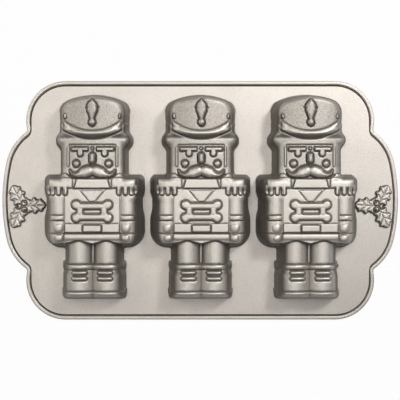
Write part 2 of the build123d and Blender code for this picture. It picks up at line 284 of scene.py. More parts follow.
MOUSTACHE = ((3.2, 26.4, 5.4), (7.6, 24.7, 5.4), (11.6, 23.0, 3.6), (15.0, 22.5, 2.5), (18.2, 23.6, 1.9),
             (20.2, 26.6, 1.0))
MOUSTACHE_FORM = (3.8, 4.6)
MOUSTACHE_GROOVE = (0.9, 0.7)
MOUSTACHE_GROOVE_LOW = 19.5

# Reliefs on the coat
COLLAR = ((-2, 19.8), (13.6, 19.8), (16.4, 10.6), (-2, 10.6))
COLLAR_RAISE = (1.4, 1.2, 0.9, 0.6)
SHIRT = ((-9, 9.4), (11.4, 9.4), (2.6, -1.2), (-9, -1.2))
SHIRT_GROOVE = (0.8, 0.65)
SHIRT_GROOVE_HIGH = 10.4
BRAID_BARS = ((-14.0, 14.0, -8.2, -1.7, 0.8), (-14.0, 14.0, -17.8, -11.5, 0.8), (7.4, 14.0, -14, -5, 0.8))
BRAID_BAR_FILL = 1.4
BRAID_ENDS = ((14.0, -3.9, 4.4), (14.0, -15.4, 4.4))
BRAID_FILL = 1.2
BRAID_RAISE = (2.0, 2.6, 0.9, 0.65)
BELT = (-24.4, 24.4, -28.6, -20.3, 0.8)
BELT_RAISE = (0.6, 0.8, 0.35, 0.5)
BELT_LINE = -28.9
BELT_GROOVE = (0.9, 0.65)
BUCKLE = (-8.6, 8.6, -28.4, -21.2, 1.9)
BUCKLE_RAISE = (1.3, 1.3, 1.0, 0.65)
SKIRT = (-32.2, 3.0)
SKIRT_FORM = (0.9, 2.6)
SEAM_INSET = 0.5
SEAM_GROOVE = (0.6, 0.5)
SEAM_HIGH = 10

# Reliefs on the sleeves
EPAULETTE = (17.0, 39.5, 10.6, 20.8, 1.4)
EPAULETTE_FILL = 1.6
EPAULETTE_FORM = (1.6, 2.2)
FRINGE_PLACES = (23.9, 29.6, 35.2, 39.6)
FRINGE_HIGH = 12.5
FRINGE_LOW = 6.6
FRINGE_HALF = 2.3
FRINGE_GROOVE = (0.7, 0.5)
FRINGE_GROOVE_HIGH = 11.6
CUFF = (-15.4, 2.6)
CUFF_RAISE = (1.2, 2.0, 0.5, 0.5)
CUFF_IN = 25.4
CUFF_OUT = 38.0
HAND = (25.6, 34.2, -28.4, -20.6, 3.6)
HAND_FORM = (1.0, 4.0)
PALM = (25.6, 33.2, -36.4, -30.2, 2.8)
PALM_FORM = (1.1, 3.0)
PALM_LINE = -29.3
PALM_GROOVE = (0.9, 0.7)
PALM_IN = 24.0

# Reliefs on the boots
KNEE_STRIPE = (-59.2, 2.6)
KNEE_FORM = (1.7, 2.2)
KNEE_EDGE = (-59.2, 2.8)
KNEE_GROOVE = (0.6, 0.6)
BOOT_SKIN = 0.5
BOOT_SKIN_HIGH = -61.4
SOLE_STRIPE = (-84.2, 3.0)
SOLE_FORM = (1.4, 2.4)
SOLE_LINE = -80.9
SOLE_GROOVE = (0.5, 0.6)
STRAP_PLACES = (-64.3, -69.4)
STRAP_IN = 4.2
STRAP_OUT = 18.4
STRAP_HALF = 1.9
STRAP_ROUND = 1.6
STRAP_FORM = (2.1, 1.9)
STRAP_LINES = (-61.9, -66.9, -71.9)
STRAP_LINE_IN = 4.6
STRAP_LINE_OUT = 18.0
STRAP_GROOVE = (0.6, 0.6)


# Sketch maths: signed distances in the plane, negative inside

FAR = 1e3
SWELL_FULLNESS = 0.7


def disc(u, v, x, y, r):
    return np.hypot(u - x, v - y) - r


def block(u, v, x0, x1, y0, y1, r=0.0):
    """A rectangle between two corners, with rounded corners."""
    dx = np.abs(u - (x0 + x1) / 2) - (x1 - x0) / 2 + r
    dy = np.abs(v - (y0 + y1) / 2) - (y1 - y0) / 2 + r
    return np.hypot(np.maximum(dx, 0), np.maximum(dy, 0)) + np.minimum(np.maximum(dx, dy), 0) - r


def band(u, v, half, low, high, r=0.0):
    """A rectangle across the middle line."""
    return block(u, v, -half, half, low, high, r)


def stripe(v, middle, half):
    """A strip from side to side."""
    return np.abs(v - middle) - half


def stroke(u, v, points, r):
    """A line through the points, r to each side."""
    return tapered(u, v, [(x, y, r) for x, y in points])


def tapered(u, v, points):
    """A line through places, as far to each side as the third number of each says."""
    best = np.full(np.shape(u), FAR)
    for (ax, ay, ar), (bx, by, br) in zip(points, points[1:]):
        ex, ey = bx - ax, by - ay
        t = np.clip(((u - ax) * ex + (v - ay) * ey) / (ex * ex + ey * ey), 0, 1)
        best = np.minimum(best, np.hypot(u - ax - t * ex, v - ay - t * ey) - ar - t * (br - ar))
    return best


def wedge(u, v, points):
    """A convex shape with its corners listed clockwise."""
    worst = np.full(np.shape(u), -FAR)
    for (ax, ay), (bx, by) in zip(points, points[1:] + points[:1]):
        length = math.hypot(bx - ax, by - ay)
        worst = np.maximum(worst, ((u - ax) * (ay - by) + (v - ay) * (bx - ax)) / length)
    return worst


def join(k, first, *others):
    """The union of sketches, with its inner corners filled over a reach of k."""
    for other in others:
        h = np.maximum(k - np.abs(first - other), 0) / k
        first = np.minimum(first, other) - h * h * k / 4
    return first


def meet(k, first, *others):
    """The overlap of sketches, with its outer corners rounded over a reach of k."""
    return -join(k, -first, *[-other for other in others])


def ramp(x, width):
    """0 below zero and 1 above, turning smoothly over a width."""
    t = np.clip(x / width + 0.5, 0, 1)
    return t * t * (3 - 2 * t)


def swell(sketch, height, reach):
    """A relief on a sketch, rising round over its reach from the edge inwards."""
    t = np.clip(-sketch / reach, 0, 1)
    return height * (t * (2 - t)) ** SWELL_FULLNESS


def score(sketch, depth, width):
    """A groove along a sketch's edge or a stroke's middle."""
    return -depth * np.exp(-((sketch / width) ** 2))


def raised(sketch, height, reach, depth, width):
    """A relief on a sketch with a groove along its edge."""
    return swell(sketch, height, reach) + score(sketch, depth, width)


# The soldier

def soldier_outline(u, v):
    a = np.abs(u)
    sides = a - HAT_BASE_HALF - HAT_SLOPE * (v - HAT_BASE)
    crown = disc(u, v, 0, HAT_TOP - HAT_CROWN_RADIUS, HAT_CROWN_RADIUS)
    hat = np.maximum(meet(HAT_CORNER, sides, crown), HAT_BASE - v)
    upper = [band(a, v, *size) for size in (HEAD_BAND, SHOULDER_BAND, SLEEVE_BAND, HIP_BAND, LEG_BAND)]
    boots = band(a, v, *BOOT_BAND)
    sole = np.maximum(band(a, v, *SOLE_BAND), boots - SOLE_WELT)
    lower = [boots, sole, band(a, v, *KNEE_BAND)]
    cores = [band(a, v, *size) for size in CORE_BANDS]
    return join(OUTLINE_FILL, hat, disc(a, v, *CURL), *upper, *lower, *cores)


def round_top(a, x, crest, radius):
    """The height of a round bar's top, falling off straight beyond its side."""
    d = np.minimum(np.abs(a - x), radius * ROUND_SHARE)
    return crest - radius + np.sqrt(radius * radius - d * d) - SIDE_FALL * (np.abs(a - x) - d)


def jaw(a):
    """Where the head ends: straight under the moustache and rising round beside it."""
    return np.minimum(CHIN_Y + JAW_BOW * np.maximum(a - JAW_HALF, 0) ** 2, SHOULDER_Y)


def soldier_body(u, v, edge):
    """The soldier's main forms, without reliefs."""
    a = np.abs(u)
    hat = HAT_HEIGHT - HAT_ARCH + np.sqrt(HAT_ARCH ** 2 - a * a)
    head = HEAD_HEIGHT - HEAD_ARCH + np.sqrt(HEAD_ARCH ** 2 - a * a)
    shoulder = SHOULDER_FULLNESS * ramp(v - SHOULDER_FOOT, SHOULDER_TURN)
    arm = round_top(a, ARM_X, COAT_HEIGHT, ARM_RADIUS + shoulder)
    valley = ARM_VALLEY * ramp(ARMPIT_Y - v, LIMB_TURN)
    arm = np.where(a < ARM_X, np.maximum(arm, COAT_HEIGHT - valley), arm)
    coat = arm + (COAT_HEIGHT - arm) * ramp(TORSO_HALF - a, edge)
    boot = BOOT_FULLNESS * ramp(BOOT_TOP - v, LIMB_TURN)
    leg = round_top(a, LEG_X, LEG_HEIGHT, LEG_RADIUS + boot)
    leg = np.maximum(leg, LEG_WEB_HEIGHT - LEG_WEB_FALL * ramp(a - LEG_WEB_HALF, LEG_WEB_TURN))
    hem = HEM_LINE + HEM_RISE * np.exp(-(((a - LEG_X) / HEM_REACH) ** 2))
    top = leg + (coat - leg) * ramp(v - hem, edge * HEM_TURN)
    top += (head - top) * ramp(v - jaw(a), edge)
    return top + (hat - top) * ramp(v - BROW_Y, edge + HAT_TURN)


def hat_relief(u, v):
    """The badge over its small ball, and the peak with a bead at each end."""
    a = np.abs(u)
    badge = join(BADGE_FILL, tapered(u, v, BADGE_STEM), wedge(a, v, BADGE_CROWN))
    badge = join(BALL_FILL, badge, disc(u, v, *BADGE_BALL))
    front = disc(u, v, *PEAK_FRONT)
    root = disc(u, v, *PEAK_ROOT)
    peak = meet(PEAK_CORNER, np.maximum(front, -root), a - PEAK_HALF)
    relief = raised(badge, *BADGE_RAISE)
    relief += swell(peak, *PEAK_FORM) + score(front, *PEAK_FRONT_GROOVE) * ramp(PEAK_FRONT_END - a, EVEN)
    under = ramp(PEAK_ROOT_HIGH - v, FIRM)
    relief += score(root, *PEAK_ROOT_GROOVE) * ramp(PEAK_ROOT_END - a, EVEN) * under
    return relief + swell(tapered(a, v, PEAK_BEAD), *PEAK_BEAD_FORM)


def head_grit(u, v):
    """How coarse the cast grain is: coarse on the hat's front, less so on the face, fine elsewhere."""
    hat = ramp(v - HAT_GRIT_LOW - u * u / GRIT_BOW, GRIT_TURN)
    face = ramp(v - FACE_GRIT_LOW, GRIT_TURN)
    return np.maximum(hat, FACE_GRIT * face * ramp(FACE_GRIT_HIGH - v + u * u / GRIT_BOW, LONG))


def face_relief(u, v):
    """The frame round the face, hair at the temples, brows over eyes, cheeks, nose and moustache."""
    a = np.abs(u)
    frame_edge = -block(a, v, *FACE_OPENING)
    hair = block(a, v, *TEMPLE_HAIR)
    eye = join(EYE_FILL, block(a, v, *BROW), block(a, v, *EYE))
    cheek = disc(a, v, *CHEEK)
    nose = stroke(u, v, NOSE_LINE, NOSE_HALF)
    moustache = tapered(a, v, MOUSTACHE)
    groove = score(frame_edge, *FRAME_GROOVE) * ramp(v - FRAME_GROOVE_LOW, EASY)
    relief = swell(frame_edge, *FRAME_FORM) + groove
    relief += swell(hair, *HAIR_FORM)
    relief += raised(eye, *EYE_RAISE)
    relief += raised(cheek, *CHEEK_RAISE)
    relief += raised(disc(u, v, *BROW_BALL), *BROW_BALL_RAISE)
    groove = score(moustache, *MOUSTACHE_GROOVE) * ramp(v - MOUSTACHE_GROOVE_LOW, EASY)
    relief += swell(moustache, *MOUSTACHE_FORM) + groove
    relief = np.where(moustache > -NOSE_GROOVE_LAP, relief + score(nose, *NOSE_GROOVE), relief)
    return np.where(nose < 0, np.maximum(relief, swell(nose, *NOSE_FORM)), relief)


def coat_relief(u, v):
    """Collar, shirt, lapels, braid with round ends, belt, buckle and skirt."""
    a = np.abs(u)
    bars = join(BRAID_BAR_FILL, *[block(a, v, *bar) for bar in BRAID_BARS])
    braid = join(BRAID_FILL, bars, *[disc(a, v, *end) for end in BRAID_ENDS])
    shirt = score(wedge(a, v, SHIRT), *SHIRT_GROOVE) * ramp(SHIRT_GROOVE_HIGH - v, CRISP)
    relief = raised(wedge(a, v, COLLAR), *COLLAR_RAISE) + shirt
    relief += raised(braid, *BRAID_RAISE)
    relief += raised(block(a, v, *BELT), *BELT_RAISE) + score(v - BELT_LINE, *BELT_GROOVE)
    relief += raised(block(a, v, *BUCKLE), *BUCKLE_RAISE) + swell(stripe(v, *SKIRT), *SKIRT_FORM)
    seam = np.abs(a - TORSO_HALF + SEAM_INSET)
    return relief + score(seam, *SEAM_GROOVE) * ramp(SEAM_HIGH - v, FIRM)


def sleeve_relief(u, v):
    """Epaulettes with their fringe, cuffs, and the hands below them."""
    a = np.abs(u)
    tassels = [stroke(a, v, ((x, FRINGE_HIGH), (x, FRINGE_LOW)), FRINGE_HALF) for x in FRINGE_PLACES]
    fringe = np.minimum.reduce(tassels)
    epaulette = join(EPAULETTE_FILL, block(a, v, *EPAULETTE), fringe)
    relief = swell(epaulette, *EPAULETTE_FORM)
    relief += score(fringe, *FRINGE_GROOVE) * ramp(FRINGE_GROOVE_HIGH - v, SOFT)
    cuff = raised(stripe(v, *CUFF), *CUFF_RAISE)
    relief += cuff * ramp(a - CUFF_IN, CRISP) * ramp(CUFF_OUT - a, LONG)
    relief += swell(block(a, v, *HAND), *HAND_FORM) + swell(block(a, v, *PALM), *PALM_FORM)
    return relief + score(v - PALM_LINE, *PALM_GROOVE) * ramp(a - PALM_IN, CRISP)


def boot_relief(u, v):
    """Knee bands, boot straps, the boots' own skin and the soles."""
    a = np.abs(u)
    relief = swell(stripe(v, *KNEE_STRIPE), *KNEE_FORM) + score(stripe(v, *KNEE_EDGE), *KNEE_GROOVE)
    relief += BOOT_SKIN * ramp(BOOT_SKIN_HIGH - v, CRISP)
    relief += swell(stripe(v, *SOLE_STRIPE), *SOLE_FORM) + score(v - SOLE_LINE, *SOLE_GROOVE)
    for y in STRAP_PLACES:
        strap = block(a, v, STRAP_IN, STRAP_OUT, y - STRAP_HALF, y + STRAP_HALF, STRAP_ROUND)
        relief += swell(strap, *STRAP_FORM)
    for y in STRAP_LINES:
        relief += score(v - y, *STRAP_GROOVE) * ramp(STRAP_LINE_OUT - a, SOFT) * ramp(a - STRAP_LINE_IN, SOFT)
    return relief


def soldier_top(u, v, edge=FACE_EDGE, relief=1.0):
    """The height of the soldier's face over the deck."""
    a = np.abs(u)
    face = face_relief(u, v) * ramp(v - jaw(a), FIRM) * ramp(FACE_AREA_HIGH - v, LONG)
    head = face + hat_relief(u, v) * ramp(v - HAT_AREA_LOW, FIRM)
    coat = coat_relief(u, v) * ramp(TORSO_HALF - a, CRISP)
    coat += sleeve_relief(u, v) * ramp(a - SLEEVE_AREA_IN, CRISP)
    coat *= ramp(v - COAT_AREA_LOW, SOFT) * ramp(CHIN_Y + COLLAR_LAP - v, FIRM)
    boots = boot_relief(u, v) * ramp(BOOT_AREA_HIGH - v, FIRM)
    return soldier_body(u, v, edge) + relief * (head + coat + boots)


def soldier_cut(u, v):
    """The hole in the deck that the soldier fills, with its corners left sharp."""
    a = np.abs(u)
    hat = np.maximum(disc(u, v, 0, HAT_TOP - HAT_CROWN_RADIUS, HAT_CROWN_RADIUS), HAT_BASE - v)
    hat = np.maximum(hat, a - HAT_BASE_HALF - HAT_SLOPE * (v - HAT_BASE))
    return np.minimum.reduce([hat, disc(a, v, *CURL)] + [band(a, v, *size) for size in CUT_BANDS])


# Cast skins

def seated(outer, cut, z):
    """A relief with the plug that fills its hole in the deck, level with the deck's face."""
    plug = np.maximum(cut - SEAT, z - FLUSH)
    return np.maximum(np.minimum(outer, plug), -z - DECK_THICKNESS - PROUD)


def soldier_skin(u, v, z):
    """The mould's metal: inside its outer skin and outside its cavity."""
    side = soldier_outline(u, v)
    slope = np.maximum(z, 0) * DRAFT
    outer = meet(CREST_ROUND, side + slope, z - soldier_top(u, v))
    inner = meet(CAVITY_ROUND, side + slope + WALL, z + WALL - soldier_top(u, v, CAVITY_EDGE, CAVITY_RELIEF))
    return np.maximum(seated(outer, soldier_cut(u, v), z), -inner)


def leaf_frames(x, y):
    """Places as seen along and across each leaf."""
    for angle in LEAF_ANGLES:
        c, s = math.cos(math.radians(angle)), math.sin(math.radians(angle))
        yield x * c + y * s, y * c - x * s


def holly_cut(x, y):
    """The hole in the deck that the holly fills."""
    rise = (LEAF_LENGTH / 2) ** 2 / LEAF_HALF / 2 - LEAF_HALF / 2
    cut = disc(x, y, 0, 0, HUB_CUT_RADIUS)
    for along, across in leaf_frames(x, y):
        along = along - LEAF_LENGTH / 2 - LEAF_CUT_START
        blade = np.maximum(disc(along, across, 0, rise, rise + LEAF_HALF),
                           disc(along, across, 0, -rise, rise + LEAF_HALF))
        cut = np.minimum(cut, blade)
        for place in LOBE_CUTS:
            cut = np.minimum(cut, disc(along, np.abs(across), *place, LOBE_CUT_RADIUS))
    return cut


def holly_parts(x, y):
    """The leaves' outline, the veins in them and the berries."""
    x, y = x / HOLLY_GROWTH, y / HOLLY_GROWTH
    outline = disc(x, y, 0, 0, HUB_RADIUS)
    veins = []
    for along, across in leaf_frames(x, y):
        side = np.abs(across)
        leaf = tapered(along, across, LEAF_BLADE)
        for lobe in LEAF_LOBES:
            leaf = join(LOBE_FILL, leaf, tapered(along, side, lobe))
        outline = join(LEAF_FILL, outline, leaf)
        veins.append(stroke(along, across, MIDDLE_VEIN, 0))
        for start in SIDE_VEIN_STARTS:
            veins.append(stroke(along, side, ((start, 0), (start + SIDE_VEIN[0], SIDE_VEIN[1])), 0))
    berries = [disc(x, y, BERRY_RING * math.cos(turn), BERRY_RING * math.sin(turn), BERRY_RADIUS)
               for turn in BERRY_TURNS]
    return outline, np.minimum.reduce(veins), np.minimum.reduce(berries)


def holly_outline(x, y):
    return holly_parts(x, y)[0]


def holly_grit(x, y):
    """The holly has the fine grain only."""
    return 0 * x


def holly_top(x, y):
    outline, vein, berries = holly_parts(x, y)
    top = LEAF_BASE + swell(outline, *LEAF_FORM) + score(vein, *VEIN_GROOVE) + score(berries, *BERRY_GROOVE)
    return np.maximum(top, BERRY_BASE + swell(berries, *BERRY_FORM))


def holly_skin(x, y, z):
    side = holly_outline(x, y) + np.maximum(z, 0) * HOLLY_DRAFT
    return seated(meet(HOLLY_ROUND, side, z - holly_top(x, y)), holly_cut(x, y), z)


def skin_mesh(name, skin, low, high, step, faces):
    """A closed mesh of a function's zero surface between two corners, in millimetres over the deck's face."""
    step *= 1
    axes = [np.arange(a, b + step, step) for a, b in zip(low, high)]
    grid = np.meshgrid(axes[0], axes[1], indexing="ij")
    field = np.stack([skin(*grid, np.full(grid[0].shape, z)) for z in axes[2]], axis=2)
    inside = field < 0
    count = np.array(field.shape)
    corners = [inside[i:count[0] - 1 + i, j:count[1] - 1 + j, k:count[2] - 1 + k]
               for i in (0, 1) for j in (0, 1) for k in (0, 1)]
    used = np.any(corners, axis=0) & ~np.all(corners, axis=0)
    cells = np.argwhere(used)
    number = np.full(count - 1, -1, np.int64)
    number[used] = np.arange(len(cells))
    places = settled(skin, np.array(low) + (cells + 0.5) * step, step)
    quads = []
    for axis in range(3):
        a, b = [k for k in range(3) if k != axis]
        one = [slice(None)] * 3
        two = [slice(None)] * 3
        one[axis], two[axis] = slice(0, -1), slice(1, None)
        here, there = inside[tuple(one)], inside[tuple(two)]
        for flip, crossing in ((False, here & ~there), (True, ~here & there)):
            at = np.argwhere(crossing)
            at = at[(at[:, a] > 0) & (at[:, b] > 0) & (at[:, a] < count[a] - 1) & (at[:, b] < count[b] - 1)]
            ring = []
            for da, db in ((1, 1), (0, 1), (0, 0), (1, 0)):
                cell = at.copy()
                cell[:, a] -= da
                cell[:, b] -= db
                ring.append(number[tuple(cell.T)])
            quad = np.stack(ring, axis=1)
            quads.append(quad[:, ::-1] if flip != (axis == 1) else quad)
    mesh = bpy.data.meshes.new(name)
    mesh.from_pydata(places.tolist(), [], np.concatenate(quads).tolist())
    return thinned(mesh, faces)


def slope_of(skin, p, value):
    """How fast a function grows along each axis at each place."""
    parts = []
    for axis in range(3):
        moved = p.copy()
        moved[:, axis] += SLOPE_REACH
        parts.append((skin(*moved.T) - value) / SLOPE_REACH)
    return np.stack(parts, axis=1)


def settled(skin, places, step):
    """Places near a zero surface, moved onto it along its slope, and never out of their own cell."""
    start = places.copy()
    for _ in range(SETTLE_ROUNDS):
        value = skin(*places.T)
        slope = slope_of(skin, places, value)
        fall = value / np.maximum((slope ** 2).sum(axis=1), LEAST_SLOPE)
        places = np.clip(places - slope * fall[:, None], start - step * 0.5, start + step * 0.5)
    return places


def thinned(mesh, faces):
    """The mesh in triangles, with the ones over a number of them taken from its underside."""
    piece = shown(mesh.name, mesh)
    normals = np.empty(len(mesh.vertices) * 3)
    mesh.vertex_normals.foreach_get("vector", normals)
    under = piece.vertex_groups.new(name="under")
    under.add(np.flatnonzero(normals[2::3] < UNDERSIDE).tolist(), 1.0, "REPLACE")
    lean = piece.modifiers.new("lean", "DECIMATE")
    lean.vertex_group = under.name
    lean.ratio = min(1.0, faces / (2 * len(mesh.polygons)))
    lean.use_collapse_triangulate = True
    done = final_mesh(piece, "skin")
    bpy.data.meshes.remove(mesh)
    return done


def shown(name, data):
    """An object of its own in the scene."""
    piece = bpy.data.objects.new(name, data)
    bpy.context.scene.collection.objects.link(piece)
    return piece


def final_mesh(piece, name):
    """A plain mesh of what an object's modifiers make of it, which takes the object's place."""
    mesh = bpy.data.meshes.new_from_object(piece.evaluated_get(bpy.context.evaluated_depsgraph_get()))
    bpy.data.objects.remove(piece)
    mesh.name = name
    return mesh


def points_of(mesh):
    flat = np.empty(len(mesh.vertices) * 3)
    mesh.vertices.foreach_get("co", flat)
    return flat.reshape(-1, 3)


def keep_painted_light_and_grit(mesh, ways, top, side, grit):
    """Keeps painted shade (in hollows, at the walls' feet and on steep walls), painted highlight on ridges
    and how gritty each point is, as attributes from 0 to 1.
    """
    u, v, z = points_of(mesh).T
    here = top(u, v)
    around = np.zeros(len(u))
    for turn in range(LIGHT_SAMPLE_TURNS):
        angle = turn * math.tau / LIGHT_SAMPLE_TURNS
        around += top(u + LIGHT_SAMPLE_REACH * math.cos(angle), v + LIGHT_SAMPLE_REACH * math.sin(angle)) / LIGHT_SAMPLE_TURNS
    face = ramp(z - here + TOP_FACE_DEPTH, SOFT)
    edge = side(u, v)
    # Painted shade at each wall's foot, on steep walls and in hollows; painted highlight on ridges
    foot = np.exp(-np.maximum(z, 0) / FOOT_FALL) * ramp(edge + FOOT_IN, FIRM) * ramp(FOOT_OUT - edge, CRISP)
    wall = WALL_PAINTED_SHADE * ramp(STEEP - ways[:, 2], STEEP_TURN) * ramp(z - WALL_FOOT, CRISP)
    painted_shade = np.clip((around - here - HOLLOW_FROM) * HOLLOW_GAIN, 0, HOLLOW_MOST) * face
    painted_highlight = np.clip((here - around - RIDGE_FROM) * RIDGE_GAIN, 0, 1) * face
    painted_light_and_grit = {"painted_shade": np.maximum(painted_shade, np.maximum(foot, wall)), "painted_highlight": painted_highlight, "grit": grit(u, v) * face}
    for name, values in painted_light_and_grit.items():
        layer = mesh.attributes.new(name, "FLOAT", "POINT")
        layer.data.foreach_set("value", values.astype(np.float32))


def outward(mesh, skin):
    """The way out of the metal at each point of a skin's mesh, from the function's own slope."""
    p = points_of(mesh)
    ways = np.stack([skin(*(p + step).T) - skin(*(p - step).T) for step in np.eye(3) * NORMAL_REACH], axis=1)
    return ways / np.maximum(np.linalg.norm(ways, axis=1, keepdims=True), 1e-6)


def shade(mesh, ways):
    """Shades each corner by the way out at its point, or flat where its face turns away from that."""
    mesh.shade_smooth()
    mesh.update()
    flat = np.empty(len(mesh.polygons) * 3)
    mesh.polygons.foreach_get("normal", flat)
    counts = np.empty(len(mesh.polygons), np.int32)
    mesh.polygons.foreach_get("loop_total", counts)
    flat = np.repeat(flat.reshape(-1, 3), counts, axis=0)
    corners = np.empty(len(mesh.loops), np.int32)
    mesh.loops.foreach_get("vertex_index", corners)
    soft = ways[corners]
    agree = (soft * flat).sum(axis=1) > math.cos(CREASE)
    mesh.normals_split_custom_set(np.where(agree[:, None], soft, flat).tolist())


def cast_piece(name, mesh, ways, x, y, stands_for, mirrored=False):
    """A copy of a skin set on the deck at a place, standing for its CAD node."""
    copy = mesh.copy()
    copy.name = name
    p = points_of(copy)
    if mirrored:
        p[:, 0] *= -1
        ways = ways * [-1, 1, 1]
        copy.flip_normals()
    p = (p + [x, y, DECK_FACE]) * MM
    copy.vertices.foreach_set("co", p.ravel())
    shade(copy, ways)
    piece = shown(name, copy)
    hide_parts(stands_for)
    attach(piece, "root")


def middle_x(node):
    low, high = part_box(node)
    return (low[0] + high[0]) / 2 / MM


def soldiers(metal):
    """The three moulds, all of one skin."""
    low = (-SHOULDER_HALF - MESH_MARGIN, SOLE_Y - MESH_MARGIN, -DECK_THICKNESS - MESH_MARGIN)
    high = (SHOULDER_HALF + MESH_MARGIN, HAT_TOP + MESH_MARGIN, HAT_HEIGHT + RELIEF_ROOM)
    mesh = skin_mesh("soldier", soldier_skin, low, high, VOXEL, SKIN_FACES)
    mesh.materials.append(metal)
    ways = outward(mesh, soldier_skin)
    keep_painted_light_and_grit(mesh, ways, soldier_top, soldier_outline, head_grit)
    for node in ("mould_left", "mould_centre", "mould_right"):
        cast_piece(f"{node}_skin", mesh, ways, middle_x(node), 0.0, node)


def hollies(metal):
    """The holly on the two grips, each the other's mirror image."""
    low = (-LEAF_LENGTH, -LEAF_LENGTH, -DECK_THICKNESS - HOLLY_MARGIN)
    high = (LEAF_LENGTH + MESH_MARGIN, LEAF_LENGTH, HOLLY_ROOM)
    mesh = skin_mesh("holly", holly_skin, low, high, HOLLY_VOXEL, HOLLY_FACES)
    mesh.materials.append(metal)
    ways = outward(mesh, holly_skin)
    keep_painted_light_and_grit(mesh, ways, holly_top, holly_outline, holly_grit)
    grip = RIM_HIGH[0] / MM - HOLLY_INSET
    for node, side in (("holly_left", -1), ("holly_right", 1)):
        cast_piece(f"{node}_relief", mesh, ways, side * grip, HOLLY_Y, node, mirrored=side > 0)


# The rim

def arc(x, y, r, start, end):
    """Places a millimetre or so apart along an arc, with the way out from the pan at each."""
    steps = max(int(abs(end - start) * r / ARC_STEP), ARC_LEAST_STEPS)
    turns = np.radians(np.linspace(start, end, steps))
    out = np.stack([np.cos(turns), np.sin(turns)], axis=1)
    return np.array([x, y]) + out * r, out if end > start else -out


def pan_edge(inset):
    """The pan's outline moved inwards: straight sides, corners, notches and bowed grips."""
    half_x, half_y = RIM_HIGH[0] / MM, RIM_HIGH[1] / MM
    corner = (SHOULDER_HALF_LENGTH - CORNER_RADIUS, half_y - CORNER_RADIUS)
    bow_x = half_x - GRIP_RADIUS
    reach = GRIP_RADIUS - GRIP_END_RADIUS
    tip = (bow_x + reach * math.cos(math.radians(GRIP_ANGLE)), reach * math.sin(math.radians(GRIP_ANGLE)))
    near, far = CORNER_RADIUS + NOTCH_RADIUS, GRIP_END_RADIUS + NOTCH_RADIUS
    span = math.dist(corner, tip)
    along = (near ** 2 - far ** 2 + span ** 2) / (2 * span)
    off = math.sqrt(near ** 2 - along ** 2)
    ux, uy = (tip[0] - corner[0]) / span, (tip[1] - corner[1]) / span
    notch = (corner[0] + ux * along - uy * off, corner[1] + uy * along + ux * off)
    to_corner = math.degrees(math.atan2(notch[1] - corner[1], notch[0] - corner[0]))
    to_tip = math.degrees(math.atan2(notch[1] - tip[1], notch[0] - tip[0]))
    pieces = [arc(bow_x, 0, GRIP_RADIUS, 0, GRIP_ANGLE),
              arc(*tip, GRIP_END_RADIUS, GRIP_ANGLE, to_tip),
              arc(*notch, NOTCH_RADIUS, to_tip + 180, to_corner + 180),
              arc(*corner, CORNER_RADIUS, to_corner, 90)]
    edge = np.concatenate([places - out * inset for places, out in pieces])
    keep = np.concatenate([[True], np.hypot(*np.diff(edge, axis=0).T) > JOINT_GAP])
    quarter = edge[keep]
    upper = np.concatenate([quarter, quarter[::-1] * [-1, 1]])
    whole = np.concatenate([upper, upper[::-1] * [1, -1]])
    gaps = np.hypot(*(whole - np.roll(whole, 1, axis=0)).T)
    return whole[gaps > MIRROR_GAP]


def sweep_tree():
    """Geometry nodes that run a bead along a curve, and a flat ledge lower down and to one side."""
    tree = Tree("swept_rim")
    sockets = {"Path": "NodeSocketGeometry", **dict.fromkeys(RIM_SIZES, "NodeSocketFloat"),
               "Bead metal": "NodeSocketMaterial", "Ledge metal": "NodeSocketMaterial"}
    for name, kind in sockets.items():
        tree.group.interface.new_socket(name, in_out="INPUT", socket_type=kind)
    tree.group.interface.new_socket("Mesh", in_out="OUTPUT", socket_type="NodeSocketGeometry")
    entry = tree.node("NodeGroupInput", {}, {})
    given = {socket.name: Sock(tree, socket) for socket in entry.socket.node.outputs if socket.name}
    path = tree.node("GeometryNodeSetCurveNormal", {"mode": "Z_UP"}, {"Curve": given["Path"]})
    bars = []
    for part in ("Bead", "Ledge"):
        bar = tree.node("GeometryNodeCurvePrimitiveQuadrilateral", {"mode": "RECTANGLE"},
                        {"Width": given[f"{part} width"], "Height": given[f"{part} height"]})
        if part == "Bead":
            rounding = {"Curve": bar, "Radius": given["Bead round"], "Count": BEAD_ROUND_STEPS}
            bar = tree.node("GeometryNodeFilletCurve", {"mode": "POLY"}, rounding)
        else:
            aside = {"X": given["Ledge shift"], "Y": given["Ledge drop"]}
            place = tree.node("ShaderNodeCombineXYZ", {}, aside)
            bar = tree.node("GeometryNodeTransform", {}, {"Geometry": bar, "Translation": place})
        swept = tree.node("GeometryNodeCurveToMesh", {}, {"Curve": path, "Profile Curve": bar})
        dressed = {"Geometry": swept, "Material": given[f"{part} metal"]}
        bars.append(tree.node("GeometryNodeSetMaterial", {}, dressed))
    joined = tree.node("GeometryNodeJoinGeometry", {}, {"Geometry": bars[0]})
    tree.links.new(bars[1].socket, joined.socket.node.inputs["Geometry"])
    whole = tree.node("GeometryNodeRealizeInstances", {}, {"Geometry": joined})
    leave = tree.nodes.new("NodeGroupOutput")
    tree.links.new(whole.socket, leave.inputs[0])
    return tree.group


